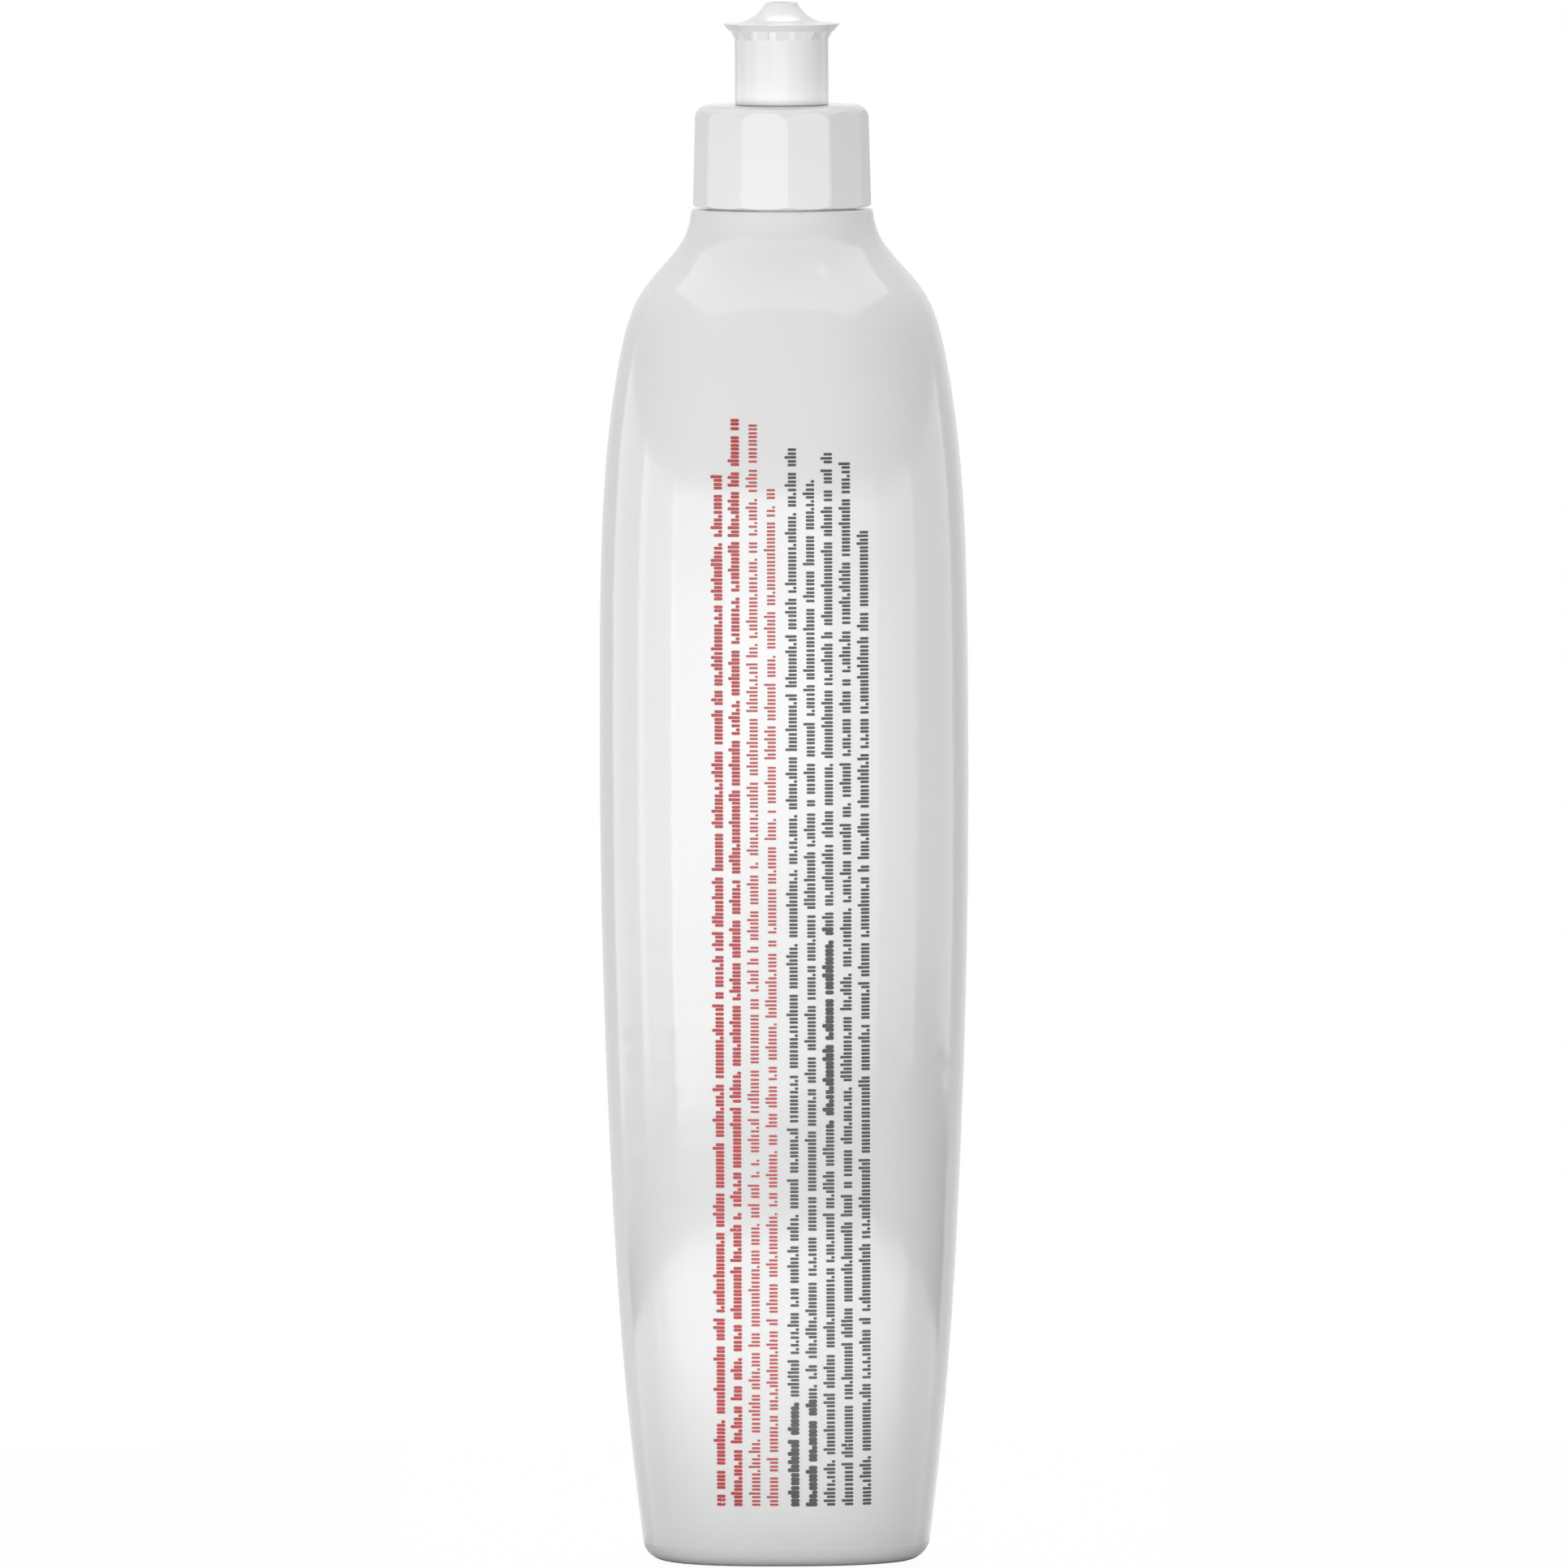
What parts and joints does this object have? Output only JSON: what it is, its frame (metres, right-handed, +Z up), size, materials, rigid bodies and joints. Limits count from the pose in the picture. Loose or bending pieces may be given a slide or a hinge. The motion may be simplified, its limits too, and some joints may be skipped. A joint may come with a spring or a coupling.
{
  "type": "dish soap bottle",
  "caption": "Tall squeeze bottle with a rounded-square body, sloped shoulder, threaded neck, faceted screw cap and push-pull spout.",
  "frame": {"origin": "middle of the base, on the surface that the bottle stands on", "axes": "+Z up along the neck's axis, -Y out of the printed front, +X to the right seen from the front"},
  "size_m": [0.0643, 0.0732, 0.2717],
  "materials": {
    "shell_plastic": "translucent white blow-moulded polyethylene, satin",
    "closure_plastic": "white injection-moulded polypropylene, soft gloss",
    "seal_foam": "foamed polyethylene sheet"
  },
  "bodies": {
    "bottle": {"bottle": "shell_plastic"},
    "liner": {"cap_liner": "seal_foam"},
    "cap": {"cap": "closure_plastic"},
    "spout": {"spout": "closure_plastic"}
  },
  "joints": [
    {"name": "cap_lift", "type": "slide", "parent": "bottle", "child": "liner", "axis": [0, 0, 1], "range_m": [0, 0.01694]},
    {"name": "cap_turn", "type": "hinge", "parent": "liner", "child": "cap", "pos_m": [0, 0, 0.2437], "axis": [0, 0, 1], "range_deg": [0, 1440]},
    {"name": "spout_pull", "type": "slide", "parent": "cap", "child": "spout", "axis": [0, 0, 1], "range_m": [0, 0.0064]}
  ],
  "couplings": [
    {"joint": "cap_lift", "follows": "cap_turn", "m_per_rad": 0.0006737}
  ]
}
